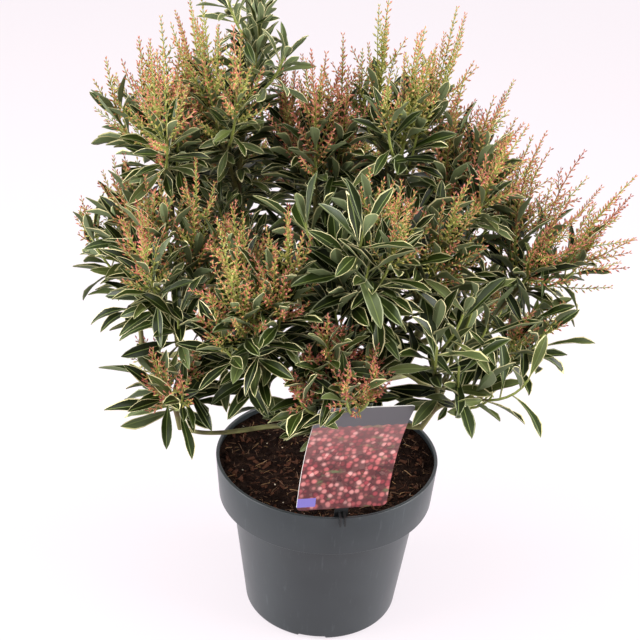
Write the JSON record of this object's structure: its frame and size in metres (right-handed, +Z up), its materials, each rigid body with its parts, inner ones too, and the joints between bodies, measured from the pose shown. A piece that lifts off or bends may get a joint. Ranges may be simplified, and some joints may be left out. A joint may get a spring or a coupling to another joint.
{
  "type": "potted pieris shrub",
  "caption": "Variegated pieris shrub in bud, with cream-edged leaves and upright pink and green flower sprays, in a round nursery pot with a wordless plant label.",
  "frame": {"origin": "centre of the pot's flat underside", "axes": "+Z up, -Y towards the front where the label stands, +X to the right as seen from the front"},
  "size_m": [0.4777, 0.3871, 0.5999],
  "materials": {
    "pot": "matte moulded",
    "peat": "loose, damp",
    "label": "printed, satin",
    "bark": "finely cracked bark",
    "foliage": "glossy leaf"
  },
  "bodies": {
    "root": {"bough_back_left": "bark", "bough_back_middle": "bark", "bough_back_right": "bark", "bough_crown_middle": "bark", "bough_crown_right": "bark", "bough_far_right": "bark", "bough_front": "bark", "bough_front_left": "bark", "bough_leader": "bark", "bough_left": "bark", "bough_left_front": "bark", "bough_low_back": "bark", "bough_low_back_left": "bark", "bough_low_front": "bark", "bough_low_left": "bark", "bough_low_right": "bark", "bough_middle_right": "bark", "bough_right_front": "bark", "bough_right_lower": "bark", "bough_right_upper": "bark", "bough_upper_left": "bark", "foliage_back_left": "foliage", "foliage_back_middle": "foliage", "foliage_back_right": "foliage", "foliage_crown_middle": "foliage", "foliage_crown_right": "foliage", "foliage_far_right": "foliage", "foliage_front": "foliage", "foliage_front_left": "foliage", "foliage_leader": "foliage", "foliage_left": "foliage", "foliage_left_front": "foliage", "foliage_low_back": "foliage", "foliage_low_back_left": "foliage", "foliage_low_front": "foliage", "foliage_low_left": "foliage", "foliage_low_right": "foliage", "foliage_middle_right": "foliage", "foliage_right_front": "foliage", "foliage_right_lower": "foliage", "foliage_right_upper": "foliage", "foliage_upper_left": "foliage", "limb_back": "bark", "limb_centre": "bark", "limb_front": "bark", "limb_left": "bark", "limb_right": "bark", "main_stem": "bark", "plant_label": "label", "pot": "pot", "soil": "peat"}
  },
  "joints": []
}
